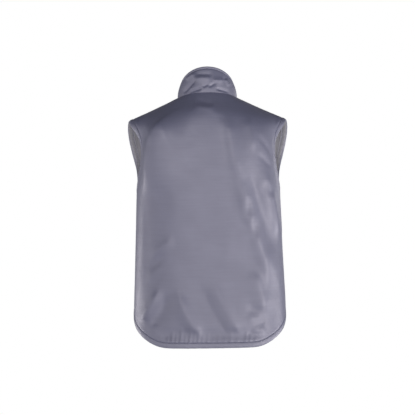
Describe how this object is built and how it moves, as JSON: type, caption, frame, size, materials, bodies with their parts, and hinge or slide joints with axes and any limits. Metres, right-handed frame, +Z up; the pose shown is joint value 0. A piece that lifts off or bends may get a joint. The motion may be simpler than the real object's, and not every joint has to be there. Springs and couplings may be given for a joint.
{
  "type": "insulated work vest",
  "caption": "Sleeveless padded work vest in its worn shape, with a stand collar, bound armholes, a zipped front and a bound hem that drops to a long tail at the back.",
  "frame": {"origin": "on the centre line, level with the top of the shoulders where they meet the collar, where the vest hangs on the wearer", "axes": "+Z up, +Y behind the wearer, +X to the wearer's left"},
  "size_m": [0.4458, 0.2658, 0.7467],
  "materials": {
    "shell": "smooth satin polyester, grey with a violet cast",
    "binding": "folded tape of the same satin cloth, slightly lighter",
    "zip": "satin moulded plastic teeth on woven tape, grey"
  },
  "bodies": {
    "root": {"back_panel": "shell", "front_left": "shell", "front_right": "shell", "collar": "shell", "hem_binding": "binding", "armhole_binding_left": "binding", "armhole_binding_right": "binding", "front_zip": "zip"}
  },
  "joints": []
}
